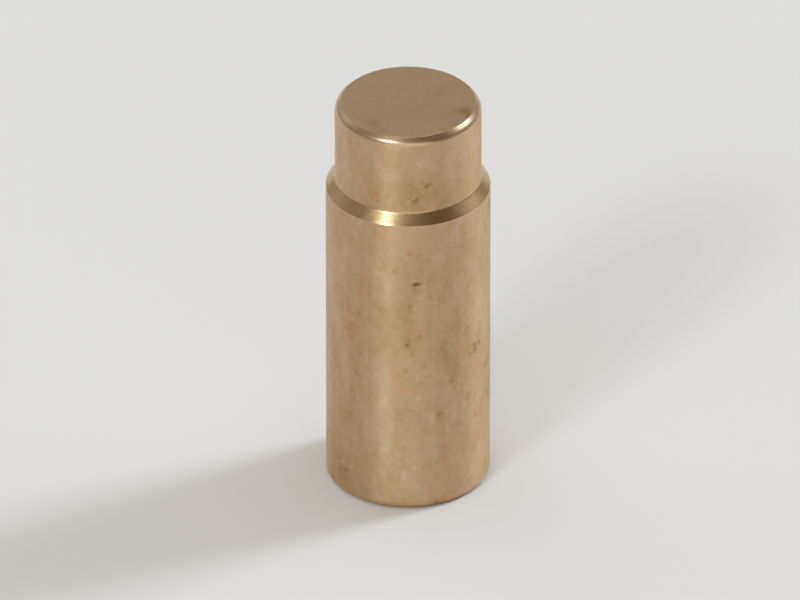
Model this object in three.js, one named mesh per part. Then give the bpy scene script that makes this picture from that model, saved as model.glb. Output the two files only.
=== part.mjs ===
// A short cylindrical pin, turned in one piece from brass bar.
// Millimetres, +Z up. The pin stands on its foot, with the origin at the centre of the foot's flat face.
import * as THREE from "three";

// ---- Driving dimensions ----
const overallLength = 10.4; // flat foot to flat tip
const bodyDiameter = 4.0; // the bar's own diameter, left full size along the body
const spigotLength = 2.05; // flat tip back to the top of the shoulder's cone
const shoulderStep = 0.22; // how much deeper, on the radius, the spigot is turned
const shoulderAngle = 40; // degrees between the shoulder's cone and the axis
const rootRadius = 0.1; // hollow left by the tool's nose where the cone meets the spigot
const tipChamfer = 0.14; // broken edge round the tip, at 45 degrees
const footRadius = 0.18; // rounded edge round the foot

// ---- Fineness of the round faces ----
const facetsAround = 96;
const stepsOnFootRound = 6;
const stepsOnRootHollow = 4;

// ---- Sizes worked out from those above ----
const bodyRadius = bodyDiameter / 2;
const spigotRadius = bodyRadius - shoulderStep;
const coneSlope = THREE.MathUtils.degToRad(shoulderAngle);
const shoulderTop = overallLength - spigotLength;
const shoulderRim = shoulderTop - shoulderStep / Math.tan(coneSlope);

// Points of a circular arc in the (radius, height) plane, from one angle to the other, both ends included.
function arc(centre, radius, fromAngle, toAngle, steps) {
  const points = [];
  for (let i = 0; i <= steps; i++) {
    const angle = fromAngle + ((toAngle - fromAngle) * i) / steps;
    const x = centre.x + radius * Math.cos(angle);
    const y = centre.y + radius * Math.sin(angle);
    points.push(new THREE.Vector2(x, y));
  }
  return points;
}

// The rounded edge between the flat foot and the body's wall.
function footRound() {
  const centre = new THREE.Vector2(bodyRadius - footRadius, footRadius);
  return arc(centre, footRadius, -Math.PI / 2, 0, stepsOnFootRound);
}

// The hollow at the spigot's root, tangent to the cone below it and to the spigot's wall above it.
function rootHollow() {
  const tangentLength = rootRadius * Math.tan(coneSlope / 2);
  const centre = new THREE.Vector2(spigotRadius + rootRadius, shoulderTop + tangentLength);
  return arc(centre, rootRadius, Math.PI + coneSlope, Math.PI, stepsOnRootHollow);
}

// Half of the pin's section, from the centre of the foot, up the outside, to the centre of the tip.
function halfSection() {
  return [
    new THREE.Vector2(0, 0),
    ...footRound(),
    new THREE.Vector2(bodyRadius, shoulderRim),
    ...rootHollow(),
    new THREE.Vector2(spigotRadius, overallLength - tipChamfer),
    new THREE.Vector2(spigotRadius - tipChamfer, overallLength),
    new THREE.Vector2(0, overallLength),
  ];
}

// A lathe turns its section about Y, so the finished pin is stood up along Z.
function makePin() {
  const geometry = new THREE.LatheGeometry(halfSection(), facetsAround);
  geometry.rotateX(Math.PI / 2);
  const brass = new THREE.MeshStandardMaterial({
    color: 0xb08f62,
    roughness: 0.4,
    metalness: 1.0,
  });
  const pin = new THREE.Mesh(geometry, brass);
  pin.name = "pin";
  return pin;
}

const cylindricalPin = new THREE.Group();
cylindricalPin.add(makePin());

export default cylindricalPin;
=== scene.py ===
# %% [markdown]
# # A short brass pin, turned in one piece
#
# This lesson builds the looks of a small brass pin: a plain round body, a polished conical shoulder,
# and a slightly thinner spigot with a chamfered tip. The CAD part already holds the true sizes, so the
# lesson loads it as a fixed frame, measures it, and turns a much finer mesh of the same form around it.
# Every length is in metres, with +Z up, and the pin stands on its foot at the origin.

# %% Load the CAD part
import math
from collections import namedtuple

import bpy
import numpy as np
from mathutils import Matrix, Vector, noise


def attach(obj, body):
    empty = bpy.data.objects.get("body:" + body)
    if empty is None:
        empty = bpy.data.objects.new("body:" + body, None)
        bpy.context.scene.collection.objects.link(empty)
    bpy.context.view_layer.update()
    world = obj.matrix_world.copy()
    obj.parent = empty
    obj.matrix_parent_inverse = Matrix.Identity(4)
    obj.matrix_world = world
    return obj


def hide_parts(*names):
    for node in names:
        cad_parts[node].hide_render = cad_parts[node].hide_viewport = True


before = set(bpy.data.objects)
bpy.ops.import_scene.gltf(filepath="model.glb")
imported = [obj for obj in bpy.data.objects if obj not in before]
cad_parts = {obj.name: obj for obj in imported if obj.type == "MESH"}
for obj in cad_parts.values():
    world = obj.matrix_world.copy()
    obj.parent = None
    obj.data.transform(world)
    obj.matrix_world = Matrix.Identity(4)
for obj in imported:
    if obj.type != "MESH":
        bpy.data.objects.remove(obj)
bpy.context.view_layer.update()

mm = 0.001

# %% [markdown]
# ## Read the section off the CAD part
#
# A turned part is one outline swung round an axis. The outline could be typed in again, but then two
# files would have to agree. Reading it off the CAD mesh is safer: every ring of vertices has one height
# and one radius, so the widest radius at each height gives the outline, from the foot to the tip.

# %% Measure the section
decimals_of_a_metre = 7


def section_of(node):
    """The (radius, height) of each ring of vertices on the outside of a turned part, foot first."""
    widest = {}
    for vertex in node.data.vertices:
        height = round(vertex.co.z, decimals_of_a_metre)
        radius = math.hypot(vertex.co.x, vertex.co.y)
        widest[height] = max(radius, widest.get(height, 0.0))
    return [(widest[height], height) for height in sorted(widest)]


section = section_of(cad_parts["pin"])
close = 0.0001 * mm
body_radius = max(radius for radius, height in section)
full_size = [height for radius, height in section if radius > body_radius - close]
foot_round = full_size[0]
shoulder_rim = full_size[-1]
tip_radius, tip_height = section[-1]
spigot_radius, chamfer_start = section[-2]
cone_end_radius, cone_end = next(ring for ring in section if ring[1] > shoulder_rim)
spigot_start = next(height for radius, height in section
                    if height > shoulder_rim and radius < spigot_radius + close)

cone_angle = math.atan((body_radius - cone_end_radius) / (cone_end - shoulder_rim))
shoulder_top = shoulder_rim + (body_radius - spigot_radius) / math.tan(cone_angle)
root_radius = (spigot_start - shoulder_top) / math.tan(cone_angle / 2)
print("body radius %.3f mm, spigot radius %.3f mm" % (body_radius / mm, spigot_radius / mm))
print("cone from %.3f to %.3f mm, at %.1f degrees to the axis, with a hollow of %.3f mm at its root" % (
    shoulder_rim / mm, shoulder_top / mm, math.degrees(cone_angle), root_radius / mm))


# %% [markdown]
# ## Draw a finer outline
#
# On a real pin no edge is perfectly sharp: the tool, the tumbling barrel and handling each take a
# little off, and that tiny round is what catches the light. A Bevel modifier could do this, but on a
# turned part it is cleaner to round the corners of the outline itself, before it is swung round. Each
# corner is listed with the radius that breaks it, and an arc replaces it. The chamfer's outer corner has
# met the rim of many a hole, so it has been rounded much more than the other sharp ones.

# %% List the corners
Corner = namedtuple("Corner", "radius height rounding")
edge_break = 0.025 * mm
chamfer_break = 0.24 * mm
tip_break = 0.015 * mm
unrounded = 0.0

foot_middle = Corner(0.0, 0.0, unrounded)
foot_corner = Corner(body_radius, 0.0, foot_round)
rim_corner = Corner(body_radius, shoulder_rim, edge_break)
root_corner = Corner(spigot_radius, shoulder_top, root_radius)
chamfer_corner = Corner(spigot_radius, chamfer_start, chamfer_break)
tip_corner = Corner(tip_radius, tip_height, tip_break)
tip_middle = Corner(0.0, tip_height, unrounded)
corners = [foot_middle, foot_corner, rim_corner, root_corner, chamfer_corner, tip_corner, tip_middle]
print(len(corners), "points in the plain outline")

# %% Round them off
def rounded_corner(before, corner, after, steps=8):
    """Points of the arc that rounds one corner off, from the stretch before it to the stretch after."""
    here = Vector(corner[:2])
    arriving = (here - Vector(before[:2])).normalized()
    leaving = (Vector(after[:2]) - here).normalized()
    turn = arriving.angle(leaving)
    trim = corner.rounding * math.tan(turn / 2)
    centre = here + (leaving - arriving).normalized() * corner.rounding / math.cos(turn / 2)
    first_arm = here - arriving * trim - centre
    last_arm = here + leaving * trim - centre
    points = []
    for i in range(steps + 1):
        swung = turn * i / steps
        arm = first_arm * math.sin(turn - swung) + last_arm * math.sin(swung)
        points.append(centre + arm / math.sin(turn))
    return points


def fine_outline(corners, pitch, end_pitch):
    """The outline with rounded corners, cut into even steps: short ones, and longer ones on flat ends."""
    bends = [[Vector(corners[0][:2])]]
    for before, corner, after in zip(corners, corners[1:], corners[2:]):
        bends.append(rounded_corner(before, corner, after))
    bends.append([Vector(corners[-1][:2])])
    points = list(bends[0])
    for last_bend, bend in zip(bends, bends[1:]):
        start, end = last_bend[-1], bend[0]
        on_end = abs(end.y - start.y) < close
        steps = max(1, math.ceil((end - start).length / (end_pitch if on_end else pitch)))
        points += [start.lerp(end, i / steps) for i in range(1, steps)] + bend
    return np.array(points)


outline = fine_outline(corners, pitch=0.04 * mm, end_pitch=0.10 * mm)
print("outline of", len(outline), "points")

# %% [markdown]
# ## Marks of use
#
# A brass pin this small rattles about in boxes and trays, so its wall carries pits, small dents and
# rubbed spots, and its tarnish has grown in uneven clouds. They could be sculpted, but a sculpted mark
# is hard to move afterwards. Here each mark is one line of a list, and later cells press it into the
# mesh and tint the metal there. The depth is real, because light has to fall into a dent.
#
# A direction of 0 degrees faces the front, and positive turns to the right. A tone of -1 is the darkest
# tarnish, and 1 is bare metal. Warmth leans the colour towards copper above 0, and to olive below it.

# %% Place the pits and dark dents
Mark = namedtuple("Mark", "direction height width tallness depth tone warmth", defaults=[0.0])

dark_marks = [
    Mark(6, 6.43 * mm, 0.27 * mm, 0.12 * mm, 0.016 * mm, -0.78),
    Mark(-36, 5.35 * mm, 0.20 * mm, 0.22 * mm, 0.003 * mm, -0.16, 0.5),
    Mark(-34, 6.20 * mm, 0.20 * mm, 0.80 * mm, 0.001 * mm, -0.12, 0.5),
    Mark(3, 5.65 * mm, 0.20 * mm, 0.20 * mm, 0.002 * mm, -0.14, 0.2),
    Mark(-1, 4.70 * mm, 0.24 * mm, 0.18 * mm, 0.003 * mm, -0.20, 0.2),
    Mark(12, 4.05 * mm, 0.16 * mm, 0.32 * mm, 0.004 * mm, -0.24),
    Mark(32, 3.50 * mm, 0.22 * mm, 0.20 * mm, 0.005 * mm, -0.28),
    Mark(9, 3.60 * mm, 0.20 * mm, 0.20 * mm, 0.003 * mm, -0.18),
    Mark(47, 2.90 * mm, 0.24 * mm, 0.28 * mm, 0.006 * mm, -0.28),
    Mark(22, 2.70 * mm, 0.15 * mm, 0.50 * mm, 0.005 * mm, -0.24),
    Mark(8, 2.55 * mm, 0.20 * mm, 0.24 * mm, 0.004 * mm, -0.24),
    Mark(-44, 2.40 * mm, 0.24 * mm, 0.24 * mm, 0.004 * mm, -0.22),
    Mark(9, 1.75 * mm, 0.22 * mm, 0.18 * mm, 0.004 * mm, -0.24),
    Mark(26, 1.70 * mm, 0.22 * mm, 0.20 * mm, 0.003 * mm, -0.20),
    Mark(-25, 1.50 * mm, 0.14 * mm, 0.22 * mm, 0.005 * mm, -0.30, 0.4),
]
print(len(dark_marks), "pits and dark dents")

# %% Place the rubbed spots and painted highlights
pale_marks = [
    # Eight of these lie 14 to 23 degrees left of the front, along the streak of the front window. Their
    # dents are real, and their paleness there is painted highlight.
    Mark(-20, 7.40 * mm, 0.22 * mm, 0.90 * mm, 0.002 * mm, 0.20),
    Mark(-22, 6.70 * mm, 0.14 * mm, 0.24 * mm, 0.004 * mm, 0.40),
    Mark(-14, 6.50 * mm, 0.26 * mm, 1.10 * mm, 0.002 * mm, 0.35),
    Mark(-23, 5.55 * mm, 0.16 * mm, 0.24 * mm, 0.004 * mm, 0.35),
    Mark(-16, 5.05 * mm, 0.20 * mm, 0.40 * mm, 0.003 * mm, 0.25),
    Mark(-36, 7.90 * mm, 0.18 * mm, 0.18 * mm, 0.005 * mm, 0.40),
    Mark(-16, 3.05 * mm, 0.16 * mm, 0.20 * mm, 0.007 * mm, 0.55),
    Mark(16, 2.60 * mm, 0.16 * mm, 0.36 * mm, 0.006 * mm, 0.35),
    Mark(-17, 1.70 * mm, 0.30 * mm, 0.18 * mm, 0.006 * mm, 0.45),
    Mark(-17, 1.00 * mm, 0.18 * mm, 0.22 * mm, 0.006 * mm, 0.40),
    Mark(-3, 1.00 * mm, 0.18 * mm, 0.30 * mm, 0.007 * mm, 0.50),
    Mark(38, 7.45 * mm, 0.14 * mm, 0.26 * mm, 0.005 * mm, 0.35),
]
print(len(pale_marks), "rubbed spots")

# %% [markdown]
# Tarnish doesn't grow evenly either. Where fingers and damp have been, whole areas are browner, and
# where the pin has rolled they are brighter. Noise alone would give clouds like these, but in places of
# its own choosing. So the large ones that the eye notices are marks too, wide and with no depth, and
# noise adds the small ones later. Two wide dark clouds low on the sides are painted shade, for the
# shaded floor that the wall mirrors there.

# %% Place the clouds of tarnish and painted shade
tarnish_and_shade_clouds = [
    Mark(-38, 6.0 * mm, 1.3 * mm, 4.4 * mm, 0.0, 0.0, 0.45),
    Mark(-42, 2.2 * mm, 1.2 * mm, 3.8 * mm, 0.0, 0.0, 0.2),
    Mark(-10, 1.8 * mm, 1.9 * mm, 2.8 * mm, 0.0, 0.12, -0.32),
    Mark(25, 7.3 * mm, 2.2 * mm, 1.8 * mm, 0.0, 0.14, -0.25),
    Mark(-35, 7.8 * mm, 0.9 * mm, 0.8 * mm, 0.0, 0.25, 0.0),
    Mark(-6, 4.9 * mm, 0.9 * mm, 1.6 * mm, 0.0, -0.14, 0.0),
    Mark(14, 3.6 * mm, 0.9 * mm, 1.2 * mm, 0.0, -0.18, 0.0),
    Mark(24, 0.6 * mm, 0.9 * mm, 0.9 * mm, 0.0, 0.20, 0.0),
    Mark(18, 4.6 * mm, 1.8 * mm, 2.6 * mm, 0.0, -0.10, 0.35),
    Mark(1, 5.3 * mm, 0.7 * mm, 0.9 * mm, 0.0, -0.10, 0.30),
    Mark(21, 8.80 * mm, 2.6 * mm, 1.05 * mm, 0.0, -0.32, 0.50),
    Mark(-27, 8.75 * mm, 0.5 * mm, 0.35 * mm, 0.0, -0.18, 0.2),
    Mark(-38, 9.0 * mm, 1.2 * mm, 1.4 * mm, 0.0, -0.04, 0.25),
    Mark(26, 9.8 * mm, 1.6 * mm, 0.8 * mm, 0.0, 0.28, -0.15),
    Mark(-34, 9.7 * mm, 0.9 * mm, 1.0 * mm, 0.0, 0.24, 0.1),
    # Painted shade: these two darken the low sides, where the wall mirrors the shaded floor.
    Mark(60, 2.6 * mm, 1.5 * mm, 4.6 * mm, 0.0, -0.28, 0.0),
    Mark(-66, 1.8 * mm, 1.4 * mm, 4.0 * mm, 0.0, -0.36, -0.3),
    Mark(-14, 9.3 * mm, 0.8 * mm, 1.6 * mm, 0.0, 0.10, 0.2),
]
placed_marks = dark_marks + pale_marks + tarnish_and_shade_clouds
print(len(placed_marks), "marks placed by hand")

# %% [markdown]
# The flat tip has stains of its own, most of them near its edge, where damp stays longest. A height
# can't place them there, because the whole tip is at one height, so each one has a distance from the
# middle instead. They are colour only: the tip was faced flat, and nothing has dented it.

# %% Stain the flat tip
TipStain = namedtuple("TipStain", "direction distance width tone")

tip_stains = [
    TipStain(71, 1.48 * mm, 0.42 * mm, -0.50),
    TipStain(50, 1.56 * mm, 0.36 * mm, -0.28),
    TipStain(-41, 1.26 * mm, 0.28 * mm, -0.50),
    TipStain(-30, 1.55 * mm, 0.50 * mm, -0.30),
    TipStain(60, 0.75 * mm, 1.10 * mm, -0.10),
    TipStain(-95, 1.05 * mm, 0.90 * mm, 0.12),
    TipStain(25, 1.25 * mm, 0.60 * mm, 0.12),
]
print(len(tip_stains), "stains on the tip")

# %% [markdown]
# The back of the pin has had the same life, so it gets marks of the same kinds. They are drawn from a
# seeded generator, so that each run gives the same pin.

# %% Scatter marks over the rest of the wall
chance = np.random.default_rng(7)
dents_behind = 70
clouds_behind = 20
marks = list(placed_marks)
for _ in range(dents_behind):
    marks.append(Mark(chance.uniform(60, 300), chance.uniform(0.3, 7.9) * mm,
                      chance.uniform(0.12, 0.26) * mm, chance.uniform(0.12, 0.40) * mm,
                      chance.uniform(0.002, 0.010) * mm, chance.uniform(-0.40, 0.40)))
for _ in range(clouds_behind):
    marks.append(Mark(chance.uniform(75, 285), chance.uniform(0.8, 9.8) * mm,
                      chance.uniform(0.8, 1.8) * mm, chance.uniform(0.8, 3.6) * mm,
                      0.0, chance.uniform(-0.18, 0.15), chance.uniform(-0.7, 0.7)))
print(len(marks), "marks on the walls")

# %% [markdown]
# ## Swing the outline round
#
# Blender's Screw modifier can swing an outline round an axis. Doing it in code instead gives every
# vertex its direction and height, so marks can be pressed in and painted at the same time. The result
# is a grid of rings and columns, closed by one point at the foot and one at the tip. The columns have
# to be close together, because the smallest pits are little more than a tenth of a millimetre across.

# %% Set out the columns
columns = 288
directions = np.arange(columns) * 2 * math.pi / columns


def compass(direction, elevation):
    """A unit vector: 0 degrees is towards the camera, positive turns to the right, and elevation is up."""
    turn, rise = math.radians(direction), math.radians(elevation)
    return Vector((math.sin(turn) * math.cos(rise), -math.cos(turn) * math.cos(rise), math.sin(rise)))


def around(radius, height):
    """Points on rings of the given radii and heights, one column for each direction."""
    right = radius * np.sin(directions)
    back = -radius * np.cos(directions)
    return np.stack([right, back, height + 0 * directions], axis=-1)


print("columns %.3f mm apart on the wall" % (2 * math.pi * body_radius / columns / mm))

# %% [markdown]
# Next comes how far each vertex is pushed in, and how its marks change its colour. A Displace modifier
# with a painted image could do the first, and a second image the second. Working both out from the same
# list of marks keeps each dark pit exactly in its own hollow. A dent is a soft dish, with no step at its
# edge, because metal that is struck flows a little all round.

# %% Press the marks in
def bowl_at(mark, across, upward):
    """A soft dish: 1 in the middle of a mark and 0 past its edge, from two distances to the middle."""
    reach = (across / (mark.width / 2)) ** 2 + (upward / (mark.tallness / 2)) ** 2
    return np.clip(1 - reach / 2, 0, 1) ** 2


def press_marks(points, on_walls):
    """How deep each vertex of the grid is pressed in, in metres, and the tone and warmth of its marks."""
    depth, tone, warmth = np.zeros((3, len(points), columns))
    for mark in marks:
        turn = (directions - math.radians(mark.direction) + math.pi) % (2 * math.pi) - math.pi
        upward = points[:, 1][:, None] - mark.height
        bowl = bowl_at(mark, turn[None, :] * body_radius, upward) * on_walls[:, None]
        depth = np.maximum(depth, bowl * mark.depth)
        tone += bowl * mark.tone
        warmth += bowl * mark.warmth
    return depth, np.clip(tone, -1, 1), warmth


def stain_tip(places, on_tip):
    """How dark or pale the stains make each vertex of the flat tip."""
    tone = np.zeros(places.shape[:2])
    for stain in tip_stains:
        middle = compass(stain.direction, 0.0) * stain.distance
        apart = np.hypot(places[..., 0] - middle.x, places[..., 1] - middle.y)
        tone += stain.tone * np.clip(1 - (apart / stain.width) ** 2, 0, 1) ** 2 * on_tip[:, None]
    return tone


def outward_normals(points):
    """The outward direction at each point of the outline, in the (radius, height) plane."""
    ahead = np.gradient(points, axis=0)
    across = np.stack([ahead[:, 1], -ahead[:, 0]], axis=1)
    return across / np.linalg.norm(across, axis=1, keepdims=True)


most_tilt_of_wall = 0.1
least_tilt_of_tip = 0.95
rings = slice(1, len(outline) - 1)
normals = outward_normals(outline)[rings]
on_walls = np.abs(normals[:, 1]) < most_tilt_of_wall
on_tip = normals[:, 1] > least_tilt_of_tip
true_place = around(outline[rings, 0][:, None], outline[rings, 1][:, None])
depth, wall_tone, mark_warmth = press_marks(outline[rings], on_walls)
mark_tone = wall_tone + stain_tip(true_place, on_tip)
print("deepest mark %.3f mm" % (depth.max() / mm))

# %% [markdown]
# Nothing that has been worn is quite round or flat. A slow waviness over the whole skin, about a
# hundredth of a millimetre deep, is too small to see as a shape, but it keeps the reflections from being
# as straight as a ruler. A Displace modifier could push the skin both ways. This waviness only ever goes
# inwards, as wear does, so the pin stays within its true size.

# %% Make the skin uneven
def waviness(places, size, amount):
    """A gentle unevenness of the surface, between 0 and amount, as a worn bar has."""
    values = [noise.noise(Vector(place) / size) for place in places.reshape(-1, 3)]
    return amount * (0.5 + 0.5 * np.array(values)).reshape(places.shape[:-1])


depth = depth + waviness(true_place, size=0.60 * mm, amount=0.009 * mm)
depth = depth + waviness(true_place, size=0.22 * mm, amount=0.003 * mm)
print("deepest place %.3f mm, shallowest %.4f mm" % (depth.max() / mm, depth.min() / mm))

# %% [markdown]
# Now the grid becomes a mesh. Each square of four neighbours is one face, and Blender tells the outside
# of a face from the order of its corners, anticlockwise as seen from out there. The last column joins up
# with the first, and two fans of triangles close the foot and the tip. Smooth shading hides the faces,
# because the true round is less than a thousandth of a millimetre away from them.

# %% Build the turned mesh
grid = around(outline[rings, 0][:, None] - normals[:, 0][:, None] * depth,
              outline[rings, 1][:, None] - normals[:, 1][:, None] * depth)
ring_count = len(grid)
foot_centre, tip_centre = ring_count * columns, ring_count * columns + 1
vertices = np.concatenate([grid.reshape(-1, 3), [[0, 0, 0], [0, 0, tip_height]]])

faces = []
for ring in range(ring_count - 1):
    low, high = ring * columns, (ring + 1) * columns
    for column in range(columns):
        beside = (column + 1) % columns
        faces.append((low + column, low + beside, high + beside, high + column))
for column in range(columns):
    faces.append((foot_centre, (column + 1) % columns, column))
for column in range(columns):
    top = (ring_count - 1) * columns
    faces.append((tip_centre, top + column, top + (column + 1) % columns))

pin_mesh = bpy.data.meshes.new("turned_pin")
pin_mesh.from_pydata(vertices.tolist(), [], faces)
pin_mesh.shade_smooth()
pin = bpy.data.objects.new("turned_pin", pin_mesh)
bpy.context.scene.collection.objects.link(pin)
print("turned pin:", len(pin_mesh.vertices), "vertices,", len(pin_mesh.polygons), "faces")


# %% [markdown]
# ## Paint the masks
#
# A material needs to know where the marks are, which corners have been rubbed clean, where shade is
# painted round the foot, and how far along the outline it is, for the lines that the tool left. These
# masks could be painted by hand in Vertex Paint. Stored from code they are exact, because they come
# from the outline that made the mesh, and the material reads each one by its name. The two points in the
# middle of the ends carry no marks, so each mask gives them a value of their own.

# %% Store the masks on the vertices
def store(name, values, at_foot=0.0, at_tip=0.0):
    """Stores one number for each vertex, from one value a ring or one for each point of the grid."""
    values = np.broadcast_to(values if values.ndim == 2 else values[:, None], (ring_count, columns))
    attribute = pin_mesh.attributes.new(name, "FLOAT", "POINT")
    every = np.concatenate([values.ravel(), [at_foot, at_tip]])
    attribute.data.foreach_set("value", every.astype(np.float32))


def nearness(corner, reach):
    """1 at a corner of the outline, falling to 0 at this distance from it."""
    distance = np.hypot(outline[rings, 0] - corner.radius, outline[rings, 1] - corner.height)
    return np.clip(1 - distance / reach, 0, 1)


rub_width = 0.06 * mm
# Shade is painted on the foot, darkest where it meets the floor and gone this far up.
foot_shade_height = 0.24 * mm
sharp_corners = (rim_corner, chamfer_corner, tip_corner)
rubbed = np.max([nearness(corner, rub_width) for corner in sharp_corners], axis=0)
outside = outline[rings, 0] > body_radius - foot_round
foot_shade = np.clip(1 - outline[rings, 1] / foot_shade_height, 0, 1) * outside
stretches = np.linalg.norm(np.diff(outline, axis=0), axis=1)
along = np.concatenate([[0], np.cumsum(stretches)])

store("rubbed_corner", rubbed)
store("foot_shade", foot_shade)
store("mark_tone", mark_tone)
store("mark_warmth", mark_warmth)
store("along", along[rings] / mm, 0.0, along[-1] / mm)
print("masks:", [name for name in pin_mesh.attributes.keys() if not name.startswith(".")])

# %% [markdown]
# ## Lay a flat map on the skin
#
# Procedural finishes need no UV map, but a game engine does, and so does the direction of a brushed
# finish there. A turned skin unrolls exactly: once round the pin goes across the map, and the way from
# the middle of the foot to the middle of the tip goes up it. So the map is written, not unwrapped.

# %% Write the map
def strip(*corners):
    """One row of faces on the map, from the (across, up) of each corner of its faces, in their order."""
    flat = [np.broadcast_to(value, columns) for corner in corners for value in corner]
    return np.stack(flat, axis=1).ravel()


def corner_places():
    """Where every corner of every face lies on the map, in the order that the faces were made."""
    left = np.arange(columns) / columns
    right = left + 1 / columns
    middle = (left + right) / 2
    up = along / along[-1]
    rows = [strip((left, low), (right, low), (right, high), (left, high))
            for low, high in zip(up[1:-2], up[2:-1])]
    rows.append(strip((middle, 0.0), (right, up[1]), (left, up[1])))
    rows.append(strip((middle, 1.0), (left, up[-2]), (right, up[-2])))
    return np.concatenate(rows)


unrolled = pin_mesh.uv_layers.new(name="OFBake")
unrolled.uv.foreach_set("vector", corner_places().astype(np.float32))
print("map of", len(unrolled.uv), "corners")

# %% [markdown]
# ## Write shader maths as Python
#
# Shader nodes are sums on sockets. Wiring each one by hand hides the idea, so a small class wraps a
# socket and lets ordinary arithmetic add the Math nodes. One more method adds any other node.

# %% Wrap a socket
class Signal:
    """A socket in a node tree. Arithmetic on it adds Math nodes, and node() adds any other node."""

    def __init__(self, tree, socket=None):
        self.tree, self.socket = tree, socket

    def node(self, kind, settings=None, sockets=None, out=0):
        """Adds a node of this type, sets it up, then fills or links its sockets."""
        made = self.tree.nodes.new(kind)
        for name, value in (settings or {}).items():
            if name == "stops":
                set_stops(made.color_ramp, value)
            else:
                setattr(made, name, value)
        for name, value in (sockets or {}).items():
            self.fill(made.inputs[name], value)
        return Signal(self.tree, made.outputs[out] if made.outputs else None)

    def fill(self, place, value):
        if isinstance(value, Signal):
            self.tree.links.new(value.socket, place)
        else:
            place.default_value = value

    def maths(self, operation, first, second):
        return self.node("ShaderNodeMath", {"operation": operation}, {0: first, 1: second})

    def __add__(self, other):
        return self.maths("ADD", self, other)

    def __sub__(self, other):
        return self.maths("SUBTRACT", self, other)

    def __rsub__(self, other):
        return self.maths("SUBTRACT", other, self)

    def __mul__(self, other):
        return self.maths("MULTIPLY", self, other)

    __radd__ = __add__
    __rmul__ = __mul__


def set_stops(ramp, stops):
    """Gives a colour ramp these (position, colour) stops."""
    while len(ramp.elements) > 1:
        ramp.elements.remove(ramp.elements[-1])
    for count, (position, colour) in enumerate(stops):
        stop = ramp.elements[0] if count == 0 else ramp.elements.new(position)
        stop.position, stop.color = position, (*colour, 1.0)


def empty_tree(owner):
    """Switches a material or world to nodes, and returns a Signal to start its tree from nothing."""
    owner.use_nodes = True
    owner.node_tree.nodes.clear()
    return Signal(owner.node_tree)


# %% [markdown]
# A few pieces of wiring come up in every finish: a soft step, a blend of two colours, a tint, noise, and
# a shift that makes one noise unlike another. Each could be wired again where it is needed. As functions
# with plain names they let a finish read as a recipe. Colours go through Mix nodes, because a Math node
# would turn them grey. A Mix node has several sockets of each name, so its colours are picked by number.

# %% Name the helpers that every finish uses
colour_a, colour_b, mixed_colour = 6, 7, 2


def smooth(value, low, high):
    """0 below low, 1 above high, and a soft S between them."""
    return value.node("ShaderNodeMapRange", {"interpolation_type": "SMOOTHSTEP", "clamp": True},
                      {"Value": value, "From Min": low, "From Max": high})


def blend(mask, first, second):
    """The first colour where the mask is 0, and the second where it is 1."""
    return mask.node("ShaderNodeMix", {"data_type": "RGBA"},
                     {"Factor": mask, colour_a: first, colour_b: second}, out=mixed_colour)


def tinted(mask, colour, tint):
    """The colour, multiplied by the tint where the mask is 1."""
    return mask.node("ShaderNodeMix", {"data_type": "RGBA", "blend_type": "MULTIPLY"},
                     {"Factor": mask, colour_a: colour, colour_b: tint}, out=mixed_colour)


def grain(at, scale, detail=2.0, roughness=0.5):
    """Noise with this many lumps to a unit of length, between 0 and 1."""
    return at.node("ShaderNodeTexNoise", {}, {"Vector": at, "Scale": scale, "Detail": detail,
                                              "Roughness": roughness}, out="Fac")


def shifted(at, by):
    """The same coordinates moved along, so that one kind of noise gives an unrelated pattern."""
    return at.node("ShaderNodeVectorMath", {"operation": "ADD"}, {0: at, 1: (by, by, by)})


print("shader helpers ready")

# %% [markdown]
# ## The tones of old brass
#
# Fresh brass is pale gold. In air it deepens to gold and then to brown, and handling rubs the high
# places back to bare metal. So one number is enough to say how old each place looks: its tone, from 0
# in a pit to 1 on bare metal, with 0.5 for most of the surface. A colour ramp turns that number into a
# colour. Mixing two colours would be simpler, but the metal in between is redder than such a mix. Each
# finish has a ramp of its own, because a polished cut stays cleaner than a rough one.

# %% Mix the tones
pit_brown = (0.23, 0.140, 0.060)
tarnish_brown = (0.535, 0.345, 0.157)
golden = (0.600, 0.416, 0.222)
rubbed_gold = (0.650, 0.480, 0.285)
bare_gold = (0.74, 0.57, 0.370)

wall_tones = [
    (0.0, pit_brown),
    (0.25, tarnish_brown),
    (0.50, golden),
    (0.75, rubbed_gold),
    (1.0, bare_gold),
]
cut_tones = [
    (0.0, (0.36, 0.24, 0.11)),
    (0.30, (0.52, 0.375, 0.180)),
    (0.50, (0.565, 0.403, 0.201)),
    (1.0, (0.66, 0.50, 0.28)),
]
edge_tones = [
    (0.0, (0.38, 0.27, 0.15)),
    (0.50, (0.57, 0.418, 0.245)),
    (1.0, (0.70, 0.55, 0.36)),
]
end_tones = [
    (0.0, pit_brown),
    (0.30, (0.42, 0.292, 0.168)),
    (0.50, (0.487, 0.349, 0.209)),
    (1.0, (0.58, 0.440, 0.290)),
]
copper_blush = (1.06, 0.94, 0.86, 1.0)
olive_bloom = (0.95, 1.03, 0.98, 1.0)
print("ramps of", [len(tones) for tones in (wall_tones, cut_tones, edge_tones, end_tones)], "stops")

# %% [markdown]
# ## Where the tarnish has grown
#
# The tone comes from noise of three sizes, from clouds a millimetre across to a fine mottle, with a few
# specks and the painted masks on top. A picture of brass could be wrapped round the pin instead, but it
# would show a seam down the back and be squeezed on the flat ends. Noise in millimetres of the object
# has neither fault, and it stays sharp close up. The larger clouds are drawn out along the pin, because
# pins slide along their length through every hole and hand.

# %% Work out the tone and the warmth
usual_tone = 0.5
middle_of_noise = 0.5
speck_softness = 0.12
dark_speck, pale_speck = 0.17, 0.20
# The last number darkens the painted shade round the foot, and the next line makes that shade redder.
mark_strength, rub_strength, foot_shade_strength = 0.6, 0.15, 0.18
warmth_of_foot_shade = 0.8


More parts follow.
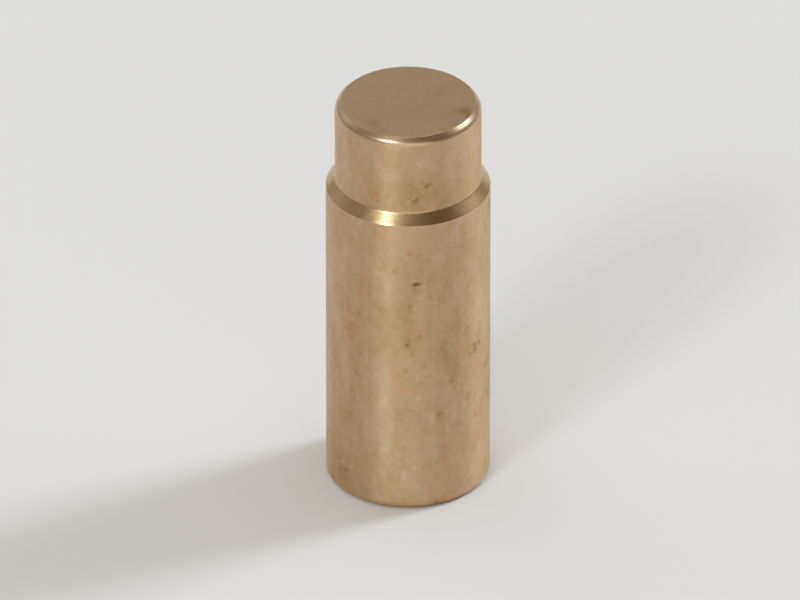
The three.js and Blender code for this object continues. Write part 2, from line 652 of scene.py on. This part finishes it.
def painted(start, name):
    """A mask that the mesh carries."""
    return start.node("ShaderNodeAttribute", {"attribute_name": name}, out="Fac")


def drawn_out(in_mm, squeeze=0.45):
    """Coordinates in which noise comes out longer along the pin than across it."""
    return in_mm.node("ShaderNodeVectorMath", {"operation": "MULTIPLY"}, {0: in_mm, 1: (1.0, 1.0, squeeze)})


def lumps(at, per_mm, amount, detail=2.0, roughness=0.5):
    """Noise that goes as far above 0 as below it."""
    return (grain(at, per_mm, detail, roughness) - middle_of_noise) * amount


def specks(at, moved, per_mm, above):
    """1 on the few peaks of a noise that pass this height, and 0 elsewhere."""
    peaks = grain(shifted(at, moved), per_mm, detail=1.0)
    return smooth(peaks, above, above + speck_softness)


def tone_of(in_mm, patchiness):
    """How old the metal looks: 0 in a pit, 0.5 on most of it, 1 where bare, plus painted shade and
    highlight.
    """
    drawn = drawn_out(in_mm)
    clouds = lumps(drawn, per_mm=0.9, amount=0.55)
    patches = lumps(drawn, per_mm=2.4, amount=0.65)
    mottle = lumps(in_mm, per_mm=5.5, amount=0.45)
    dark = specks(in_mm, moved=53.0, per_mm=3.4, above=0.62) * dark_speck
    pale = specks(in_mm, moved=29.0, per_mm=3.8, above=0.63) * pale_speck
    grown = (clouds + patches + mottle + pale - dark) * patchiness
    # The marks' tone holds wear and tarnish, painted highlight along the front window's streak, and painted
    # shade low on the sides.
    wear_and_painted_light = painted(in_mm, "mark_tone") * mark_strength + painted(in_mm, "rubbed_corner") * rub_strength
    # Round the foot the tone is lowered as painted shade.
    return usual_tone + grown + wear_and_painted_light - painted(in_mm, "foot_shade") * foot_shade_strength


def warmth_of(in_mm, patchiness):
    """Above 0 where the tarnish leans to copper, below 0 where it leans to olive, and coppery where shade
    is painted round the foot.
    """
    elsewhere = shifted(drawn_out(in_mm), by=41.0)
    drift = lumps(elsewhere, per_mm=1.3, amount=2.6, detail=3.0, roughness=0.6) * patchiness
    # Round the foot the painted shade is also made coppery.
    return drift + painted(in_mm, "mark_warmth") + painted(in_mm, "foot_shade") * warmth_of_foot_shade


print("tone and warmth ready")

# %% [markdown]
# ## One recipe for brass
#
# The pin is one metal, so one function makes all its finishes, and they differ only in a few numbers.
# Tarnish is a dull film, so where it is thick the metal is a little rougher and a little less metallic.
# The lathe tool leaves fine rings, far finer than the mesh. They are drawn as a bump from noise that runs
# only along the outline, which gives rings on the wall and the cone, and circles on the flat ends. Rings
# finer still can't be drawn at all, but they spread each reflection along the pin. The shader's
# anisotropy does that, turned by a quarter of a circle so that it runs up the wall.

# %% Make a brass finish
quarter_turn = 0.25
full_tarnish, no_tarnish = 0.15, 0.65
metal_hidden_by_tarnish = 0.12
dulled_by_tarnish = 0.06
rings_per_mm, dents_per_mm, grains_per_mm = 24.0, 4.5, 14.0
fine_grain_height = 0.0015 * mm


def make_brass(name, tones, patchiness, roughness, brushed, metal, tool_lines, dents):
    """A brass finish. Its tool lines and dents are heights in metres, and brushed is its anisotropy."""
    material = bpy.data.materials.new(name)
    start = empty_tree(material)
    place = start.node("ShaderNodeTexCoord", out="Object")
    in_mm = start.node("ShaderNodeVectorMath", {"operation": "SCALE"}, {0: place, "Scale": 1 / mm})

    tone = tone_of(in_mm, patchiness)
    warmth = warmth_of(in_mm, patchiness)
    tarnish = 1 - smooth(tone, full_tarnish, no_tarnish)
    gilded = tone.node("ShaderNodeValToRGB", {"stops": tones}, {"Fac": tone}, out="Color")
    coppery = tinted(smooth(warmth, 0.0, 1.0), gilded, copper_blush)
    colour = tinted(smooth(warmth, 0.0, -1.0), coppery, olive_bloom)

    rings_left = start.node("ShaderNodeTexNoise", {"noise_dimensions": "1D"},
                            {"W": painted(start, "along"), "Scale": rings_per_mm, "Detail": 3.0,
                             "Roughness": 0.7}, out="Fac")
    fine_grain = grain(in_mm, grains_per_mm) * fine_grain_height
    relief = rings_left * tool_lines + grain(in_mm, dents_per_mm) * dents + fine_grain
    bump = start.node("ShaderNodeBump", {}, {"Height": relief, "Distance": 1.0, "Strength": 1.0})

    shader = start.node("ShaderNodeBsdfPrincipled", {}, {
        "Base Color": colour,
        "Metallic": metal - tarnish * metal_hidden_by_tarnish,
        "Roughness": roughness + tarnish * dulled_by_tarnish,
        "Specular IOR Level": 0.8,
        "Anisotropic": brushed,
        "Anisotropic Rotation": quarter_turn,
        "Normal": bump,
    })
    start.node("ShaderNodeOutputMaterial", {}, {"Surface": shader})
    print("finish", name, "with", len(material.node_tree.nodes), "nodes")
    return material


# %% [markdown]
# ## The turned wall
#
# The body and the spigot are as they came off the lathe and out of years of handling: satin, patchy, and
# no longer quite a metal's mirror. A rough reflection alone would look like painted wood. It is the
# strong anisotropy that says metal, because it pulls every window into a long soft streak.

# %% Finish the wall
turned_wall = make_brass("turned_wall", wall_tones, patchiness=1.0, roughness=0.42, brushed=0.84,
                         metal=0.85, tool_lines=0.0010 * mm, dents=0.004 * mm)

# %% [markdown]
# ## The bright cone and the broken edge
#
# The cone of the shoulder and the chamfer at the tip were cut last, with a keen tool, and nothing rubs
# against the cone in use. So both are nearly polished, and they show the room's windows and its dark
# side, where the satin wall only shows streaks. They are plain metal with hardly any patches. One finish
# could serve both. The chamfer gets its own, a little paler and duller, because fingers and holes rub it.

# %% Finish the cone and the chamfer
bright_cut = make_brass("bright_cut", cut_tones, patchiness=0.35, roughness=0.20, brushed=0.0,
                        metal=1.0, tool_lines=0.0005 * mm, dents=0.0015 * mm)
broken_edge = make_brass("broken_edge", edge_tones, patchiness=0.35, roughness=0.24, brushed=0.0,
                         metal=1.0, tool_lines=0.0005 * mm, dents=0.0015 * mm)

# %% [markdown]
# ## The faced ends
#
# A facing cut crosses the end from the rim to the middle, and it slows down as it goes, so the ends are
# duller than the wall. They face the ceiling or the bench and gather more tarnish. The wall's finish would
# put streaks on them, which a flat end doesn't have, so they get one with no anisotropy.

# %% Finish the ends
faced_end = make_brass("faced_end", end_tones, patchiness=0.7, roughness=0.48, brushed=0.0,
                       metal=0.90, tool_lines=0.0010 * mm, dents=0.003 * mm)

# %% [markdown]
# ## Give each face its finish
#
# One material could mix all four finishes with masks, but it would be slower, and hard to read. A mesh
# can hold several materials, and each face says which one it wears. Every finish starts and ends on a
# ring of the outline, at or near a real edge, so the change from one to the next shows no saw teeth. The
# chamfer's finish goes to what slants by 12 to 60 degrees, above the spigot's root. What slants less is
# wall, and what slants more is an end.

# %% Share out the finishes
finishes = [turned_wall, bright_cut, broken_edge, faced_end]
least_slant = math.sin(math.radians(12))
most_slant = math.sin(math.radians(60))


def finish_of(point, normal):
    """The finish of a ring of the outline, by its place and by the way that it faces."""
    height, slant = point[1], abs(normal[1])
    if shoulder_rim < height < shoulder_top:
        return finishes.index(bright_cut)
    if height > spigot_start and least_slant < slant < most_slant:
        return finishes.index(broken_edge)
    return finishes.index(faced_end if slant > most_slant else turned_wall)


for finish in finishes:
    pin_mesh.materials.append(finish)
finish_by_ring = [finish_of(point, normal) for point, normal in zip(outline[rings], normals)]
finish_by_face = np.concatenate([np.repeat(finish_by_ring[:-1], columns),
                                 np.full(2 * columns, finishes.index(faced_end))])
pin_mesh.polygons.foreach_set("material_index", finish_by_face.astype(np.int32))
for index, finish in enumerate(finishes):
    print(finish.name, "on", int((finish_by_face == index).sum()), "faces")

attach(pin, "root")
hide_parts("pin")

# %% [markdown]
# ## Floor
#
# The pin stands on a sheet of plain pale paper. A backdrop that curves up behind is the usual studio
# sweep, but this camera looks down, so a flat sheet already fills its view. Paper is matt, so the floor
# has no shine, and its colour is a light grey and not white, so that the pin's soft shadow still shows.

# %% Lay the floor
paper_grey = (0.715, 0.712, 0.702, 1.0)


def make_floor(half_width=0.6):
    mesh = bpy.data.meshes.new("floor")
    mesh.from_pydata([(-half_width, -half_width, 0), (half_width, -half_width, 0),
                      (half_width, half_width, 0), (-half_width, half_width, 0)], [], [(0, 1, 2, 3)])
    floor = bpy.data.objects.new("floor", mesh)
    bpy.context.scene.collection.objects.link(floor)
    paper = bpy.data.materials.new("pale_paper")
    start = empty_tree(paper)
    shader = start.node("ShaderNodeBsdfPrincipled", {}, {
        "Base Color": paper_grey, "Roughness": 0.9, "Specular IOR Level": 0.0})
    start.node("ShaderNodeOutputMaterial", {}, {"Surface": shader})
    mesh.materials.append(paper)
    return floor


floor = make_floor()
print("floor %.1f m wide" % floor.dimensions.x)

# %% [markdown]
# ## Light
#
# Two windows light the pin, a bright one at its right and a little behind, and a dimmer one at the left
# front. Their reflections are the bright spots on the cone and the chamfer, and they throw the two soft
# shadows. An area lamp is the usual stand-in for a window. A sun lamp with a wide angle does the same
# for a subject this small, and it has no distance to get wrong. Its strength follows from one plain
# number, the share of the floor's light that comes from that window.

# %% Hang two windows
daylight = (0.90, 1.0, 1.10)


def hang_window(name, direction, elevation, floor_share, spread):
    """A wide, soft lamp far away, which gives the floor this share of its light."""
    data = bpy.data.lights.new(name, "SUN")
    data.color = daylight
    data.energy = floor_share * math.pi / math.sin(math.radians(elevation))
    data.angle = math.radians(spread)
    lamp = bpy.data.objects.new(name, data)
    bpy.context.scene.collection.objects.link(lamp)
    lamp.rotation_mode = "QUATERNION"
    lamp.rotation_quaternion = compass(direction, elevation).to_track_quat("Z", "Y")
    print(name, "of strength %.2f" % data.energy)


hang_window("side_window", direction=116.0, elevation=37.0, floor_share=0.260, spread=12.5)
hang_window("front_window", direction=-33.5, elevation=37.5, floor_share=0.134, spread=12.5)

# %% [markdown]
# ## Room
#
# Metal shows its surroundings more than itself, so an empty grey world would leave the pin looking like
# clay. An environment map of a real room would give it something to mirror. Here the room is a few soft
# patches on a plain level instead: a pale ceiling, light off the bench in front, the glow round each
# window, a pale wall behind at the left, and three darker things in front, high up. That way each
# reflection on the pin can be moved by changing one line. The dim places are browner than the bright
# ones, as in a real room.
#
# A patch has its full change within the inner angle of its middle, and none past the outer one.

# %% List what the room holds
room_white = (1.045, 1.0, 0.95, 1.0)
room_brown = (1.28, 0.92, 0.56, 1.0)
room_level = 0.330
darkest_level = 0.04
level_below_horizon = 0.70
brown_below, white_above = 0.05, 0.45
horizon_softness = 0.02

RoomPatch = namedtuple("RoomPatch", "direction elevation inner outer change")
room_patches = [
    RoomPatch(0.0, 90.0, 12.0, 28.0, 1.65),
    RoomPatch(5.0, 5.0, 12.0, 48.0, 0.62),
    RoomPatch(116.0, 37.0, 10.0, 28.0, 0.31),
    RoomPatch(-35.0, 37.5, 10.0, 28.0, 0.34),
    RoomPatch(-135.0, 36.0, 10.0, 36.0, 0.35),
    RoomPatch(44.0, 46.0, 10.0, 38.0, -0.205),
    RoomPatch(12.0, 64.0, 4.0, 16.0, -0.10),
    RoomPatch(-58.0, 56.0, 4.0, 18.0, -0.14),
]
print(len(room_patches), "patches in the room")

# %% [markdown]
# The world's shader is asked for the light from every direction in turn. The dot product of that
# direction and the middle of a patch is the cosine of the angle between them, so a soft step between two
# cosines paints a soft disc on the sky. Below the horizon there is only the bench, at one plain level.

# %% Paint the room
def room_level_at(way):
    """How bright the room is each way, from its plain level and its patches."""
    level = room_level
    for patch in room_patches:
        facing = way.node("ShaderNodeVectorMath", {"operation": "DOT_PRODUCT"},
                          {0: way, 1: compass(patch.direction, patch.elevation)}, out="Value")
        edge, middle = (math.cos(math.radians(angle)) for angle in (patch.outer, patch.inner))
        level = smooth(facing, edge, middle) * patch.change + level
    return level.maths("MAXIMUM", level, darkest_level)


def make_room():
    world = bpy.data.worlds.new("room")
    bpy.context.scene.world = world
    start = empty_tree(world)
    way = start.node("ShaderNodeTexCoord", out="Generated")
    level = room_level_at(way)
    rise = start.node("ShaderNodeSeparateXYZ", {}, {0: way}, out="Z")
    above = smooth(rise, -horizon_softness, horizon_softness)
    tint = blend(smooth(level, brown_below, white_above), room_brown, room_white)
    back = start.node("ShaderNodeBackground", {}, {
        "Color": blend(above, room_white, tint),
        "Strength": level * above + (1 - above) * level_below_horizon,
    })
    start.node("ShaderNodeOutputWorld", {}, {"Surface": back})
    print("room of", len(world.node_tree.nodes), "nodes")


make_room()

# %% [markdown]
# ## Camera
#
# A small part is best seen from some way off through a long lens, so that both ends look equally wide.
# A short lens close by would make the tip swell and the foot shrink. The camera looks down at 32
# degrees, far enough to show the tip as an oval. It aims a little below the pin's middle and to the left
# of it. Its distance follows from the lens and from how wide the view has to be at the pin.

# %% Place the camera
camera_elevation = 32.0
view_width = 19.4 * mm
lens, sensor_width = 1000.0, 36.0
aim_left, aim_down = 0.196 * mm, 0.44 * mm
aim = Vector((-aim_left, 0.0, tip_height / 2 - aim_down))

data = bpy.data.cameras.new("camera")
data.lens, data.sensor_width = lens, sensor_width
data.clip_start, data.clip_end = 0.01, 10.0
camera = bpy.data.objects.new("camera", data)
bpy.context.scene.collection.objects.link(camera)
back = compass(0.0, camera_elevation)
distance = view_width * lens / sensor_width
camera.location = aim + back * distance
camera.rotation_mode = "QUATERNION"
camera.rotation_quaternion = back.to_track_quat("Z", "Y")
bpy.context.scene.camera = camera
bpy.context.scene.view_settings.view_transform = "Standard"
print("camera %.3f m from the pin" % distance)
